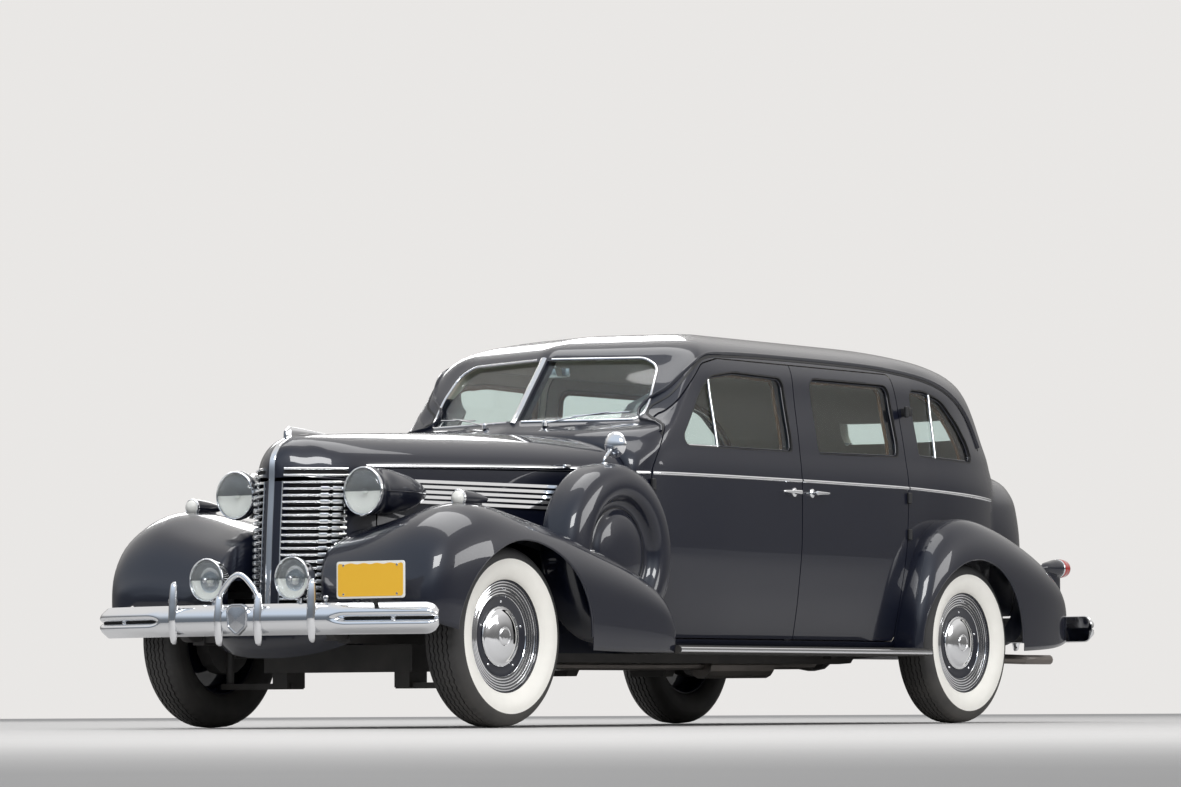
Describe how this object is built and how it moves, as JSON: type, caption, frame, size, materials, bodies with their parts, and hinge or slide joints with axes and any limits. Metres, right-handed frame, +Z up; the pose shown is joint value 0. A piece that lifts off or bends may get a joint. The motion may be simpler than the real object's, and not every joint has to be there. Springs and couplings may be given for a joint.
{
  "type": "touring limousine",
  "caption": "Long four-door touring car with a hollow cabin, hinged doors, hood halves and trunk lid, steered front wheels and spare wheel covers beside the hood.",
  "frame": {"origin": "on the ground under the middle of the car's bounding box", "axes": "+Y towards the rear bumper, +Z up, +X towards the car's left side"},
  "size_m": [1.9124, 5.6518, 1.785],
  "materials": {
    "paint": "glossy midnight navy",
    "chrome": "polished",
    "glass": "clear",
    "tyre": "satin black with a wide white sidewall",
    "underbody": "matte black",
    "board_rubber": "ribbed, matte",
    "upholstery": "woven wool cloth",
    "ivory": "polished ivory",
    "plate": "blank yellow enamel"
  },
  "bodies": {
    "car_body": {"body_shell": "paint", "chassis_frame": "underbody", "frame_rear": "underbody", "dashboard": "paint", "engine_block": "underbody", "exhaust": "underbody", "fender_front_left": "paint", "fender_front_right": "paint", "fender_rear_left": "paint", "fender_rear_right": "paint", "front_bumper": "chrome", "front_seat": "upholstery", "front_suspension": "underbody", "front_valance": "paint", "fuel_tank": "underbody", "glass_back": "glass", "glass_quarter_left": "glass", "glass_quarter_right": "glass", "glass_screen_left": "glass", "glass_screen_right": "glass", "grille": "chrome", "headlamp_left": "paint", "headlamp_right": "paint", "hood_side_left": "paint", "hood_side_right": "paint", "nose_shell": "paint", "number_plate": "plate", "rear_axle": "underbody", "rear_bumper": "chrome", "rear_seat": "upholstery", "running_board_left": "board_rubber", "running_board_right": "board_rubber", "spare_cover_left": "paint", "spare_cover_right": "paint"},
    "door_front_left": {"door_front_left": "paint", "glass_front_left": "glass"},
    "door_front_right": {"door_front_right": "paint", "glass_front_right": "glass"},
    "door_rear_left": {"door_rear_left": "paint", "glass_rear_left": "glass"},
    "door_rear_right": {"door_rear_right": "paint", "glass_rear_right": "glass"},
    "hood_left": {"hood_left": "paint"},
    "hood_right": {"hood_right": "paint"},
    "trunk_lid": {"trunk_lid": "paint"},
    "steering_wheel": {"steering_wheel": "ivory"},
    "knuckle_left": {"knuckle_left": "underbody"},
    "knuckle_right": {"knuckle_right": "underbody"},
    "road_wheel_front_left": {"tyre_front_left": "tyre", "wheel_front_left": "paint"},
    "road_wheel_front_right": {"tyre_front_right": "tyre", "wheel_front_right": "paint"},
    "road_wheel_rear_left": {"tyre_rear_left": "tyre", "wheel_rear_left": "paint"},
    "road_wheel_rear_right": {"tyre_rear_right": "tyre", "wheel_rear_right": "paint"}
  },
  "joints": [
    {"name": "door_front_left_hinge", "type": "hinge", "parent": "car_body", "child": "door_front_left", "pos_m": [0.74604, -0.88784, 0.90001], "axis": [0, 0, -1], "range_deg": [0, 60]},
    {"name": "door_rear_left_hinge", "type": "hinge", "parent": "car_body", "child": "door_rear_left", "pos_m": [0.78599, 1.1341, 0.90001], "axis": [0, 0, 1], "range_deg": [0, 62]},
    {"name": "hood_left_hinge", "type": "hinge", "parent": "car_body", "child": "hood_left", "pos_m": [0.003, -1.71399, 1.265], "axis": [0, -0.9988, -0.0499], "range_deg": [0, 55]},
    {"name": "steer_left", "type": "hinge", "parent": "car_body", "child": "knuckle_left", "pos_m": [0.655, -2.07199, 0.378], "axis": [0, 0, 1], "range_deg": [-30, 30]},
    {"name": "roll_front_left", "type": "hinge", "parent": "knuckle_left", "child": "road_wheel_front_left", "pos_m": [0.762, -2.07199, 0.378], "axis": [1, 0, 0], "continuous": true},
    {"name": "roll_rear_left", "type": "hinge", "parent": "car_body", "child": "road_wheel_rear_left", "pos_m": [0.794, 1.48401, 0.378], "axis": [1, 0, 0], "continuous": true},
    {"name": "door_front_right_hinge", "type": "hinge", "parent": "car_body", "child": "door_front_right", "pos_m": [-0.74604, -0.88784, 0.90001], "axis": [0, 0, 1], "range_deg": [0, 60]},
    {"name": "door_rear_right_hinge", "type": "hinge", "parent": "car_body", "child": "door_rear_right", "pos_m": [-0.78599, 1.1341, 0.90001], "axis": [0, 0, -1], "range_deg": [0, 62]},
    {"name": "hood_right_hinge", "type": "hinge", "parent": "car_body", "child": "hood_right", "pos_m": [-0.003, -1.71399, 1.265], "axis": [0, 0.9988, 0.0499], "range_deg": [0, 55]},
    {"name": "steer_right", "type": "hinge", "parent": "car_body", "child": "knuckle_right", "pos_m": [-0.655, -2.07199, 0.378], "axis": [0, 0, 1], "range_deg": [-30, 30]},
    {"name": "roll_front_right", "type": "hinge", "parent": "knuckle_right", "child": "road_wheel_front_right", "pos_m": [-0.762, -2.07199, 0.378], "axis": [1, 0, 0], "continuous": true},
    {"name": "roll_rear_right", "type": "hinge", "parent": "car_body", "child": "road_wheel_rear_right", "pos_m": [-0.794, 1.48401, 0.378], "axis": [1, 0, 0], "continuous": true},
    {"name": "trunk_lid_hinge", "type": "hinge", "parent": "car_body", "child": "trunk_lid", "pos_m": [0, 2.64201, 1.16], "axis": [1, 0, 0], "range_deg": [0, 65]},
    {"name": "steering_wheel_turn", "type": "hinge", "parent": "car_body", "child": "steering_wheel", "pos_m": [0.36004, -0.46396, 1.10998], "axis": [0, 0.9135, 0.4067], "range_deg": [-480, 480]}
  ],
  "couplings": [
    {"joint": "steer_right", "follows": "steer_left", "ratio": 1},
    {"joint": "steering_wheel_turn", "follows": "steer_left", "ratio": 16}
  ]
}
